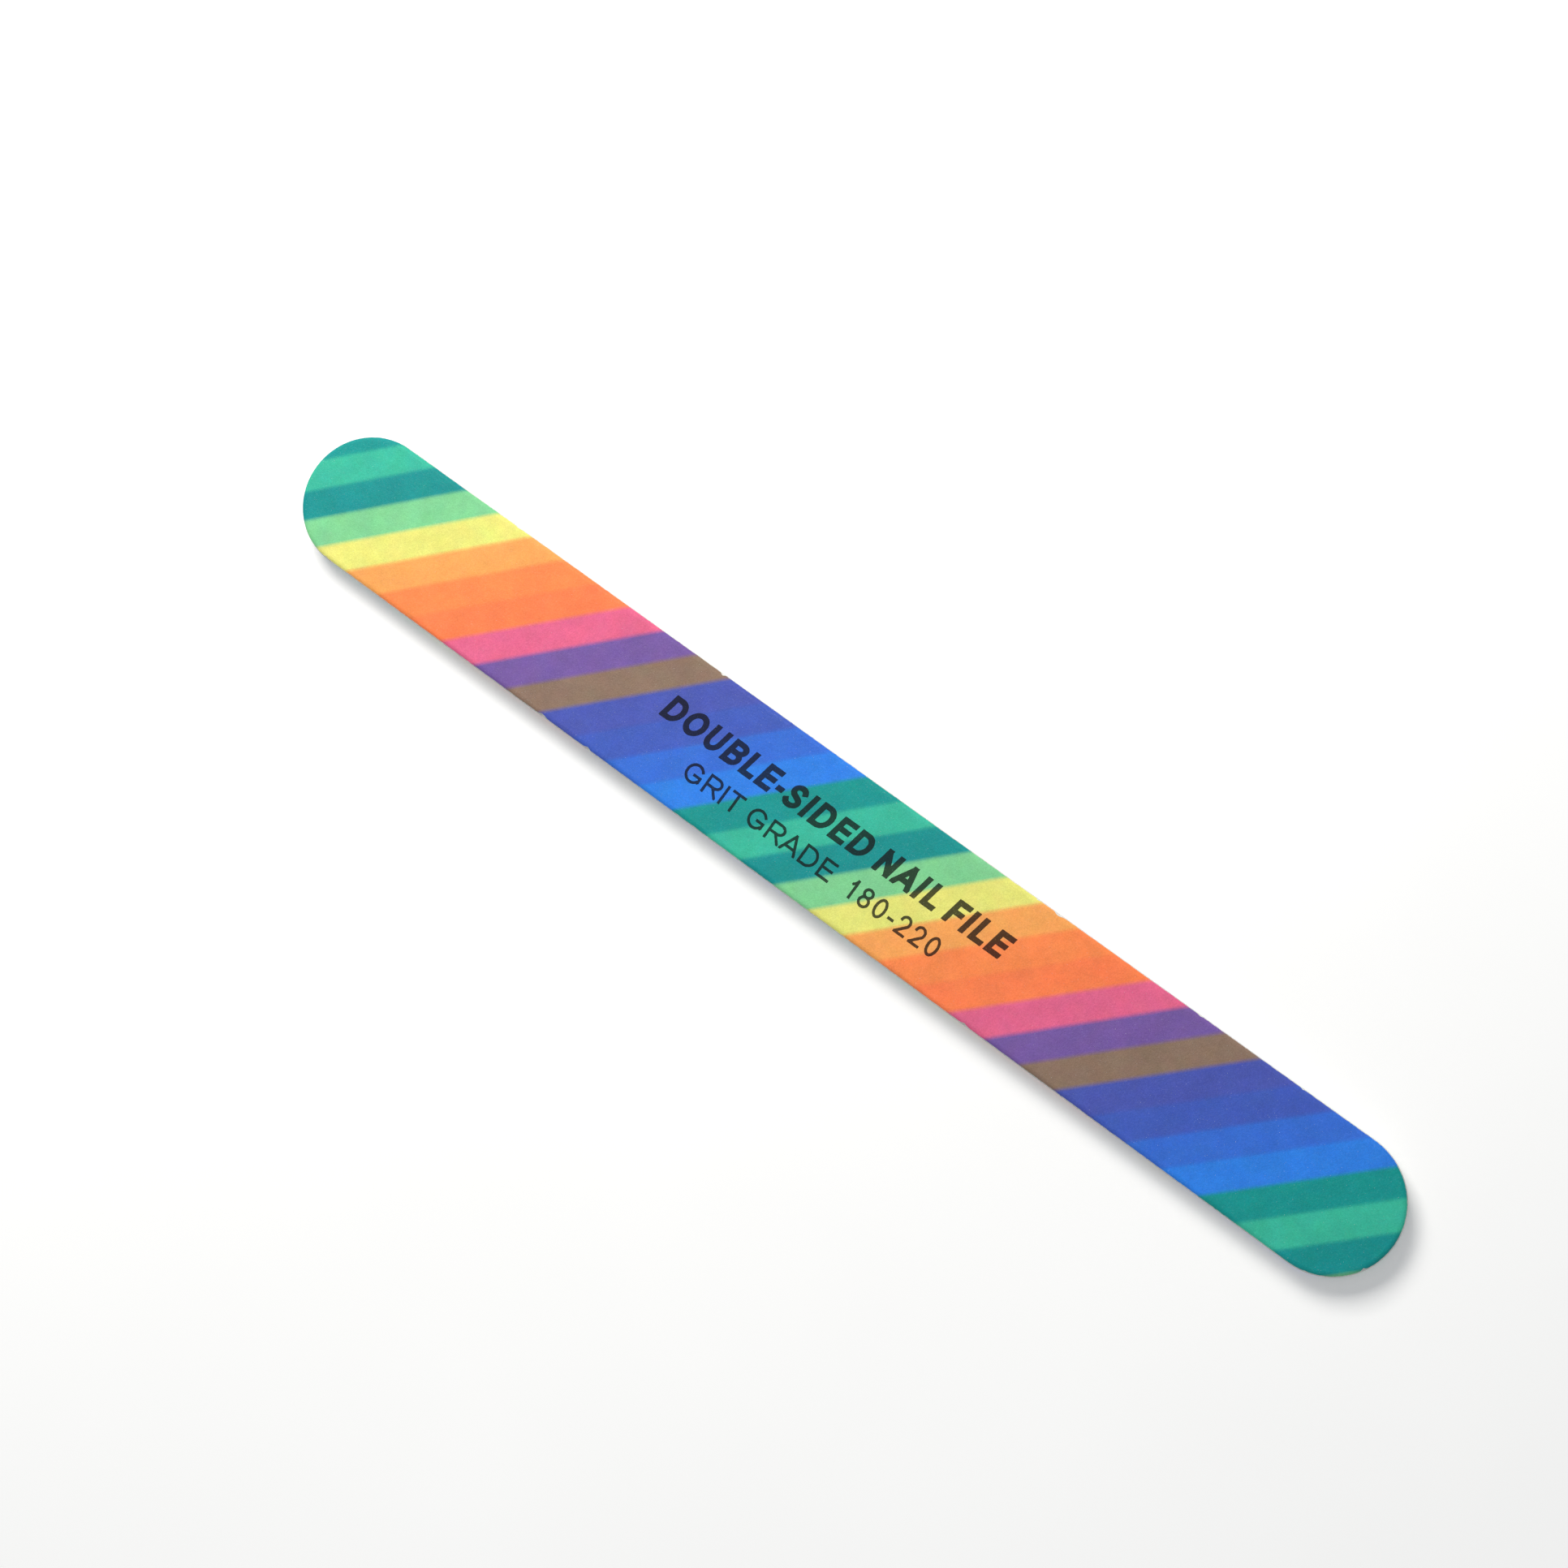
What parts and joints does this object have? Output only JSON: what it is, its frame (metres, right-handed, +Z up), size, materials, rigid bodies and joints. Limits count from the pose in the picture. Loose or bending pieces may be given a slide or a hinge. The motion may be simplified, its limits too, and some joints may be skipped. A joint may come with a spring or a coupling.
{
  "type": "nail file",
  "caption": "Flat, round-ended, double-sided nail file: a stiff core between two foam pads, faced with rolled-edge abrasive paper, coarser on one side than on the other.",
  "frame": {"origin": "under the middle of the file, on the surface that it lies on", "axes": "+X along the file, +Y across it, +Z up out of the coarse face"},
  "size_m": [0.178, 0.019, 0.0042],
  "materials": {
    "core": "white polystyrene sheet, satin, square die-cut edge",
    "adhesive": "thin translucent adhesive film",
    "foam": "white closed-cell EVA foam, matte, cells open at the cut edge",
    "paper": "white waterproof backing paper, matte",
    "grit_180": "180 grit abrasive, printed with diagonal stripes in fifteen colours, matte with fine sparkles",
    "grit_220": "220 grit abrasive, printed with the same diagonal stripes, matte"
  },
  "bodies": {
    "root": {"core_board": "core", "core_film_upper": "adhesive", "core_film_lower": "adhesive", "foam_pad_upper": "foam", "foam_pad_lower": "foam", "face_film_upper": "adhesive", "face_film_lower": "adhesive", "backing_paper_upper": "paper", "backing_paper_lower": "paper", "grit_coat_upper": "grit_180", "grit_coat_lower": "grit_220"}
  },
  "joints": []
}
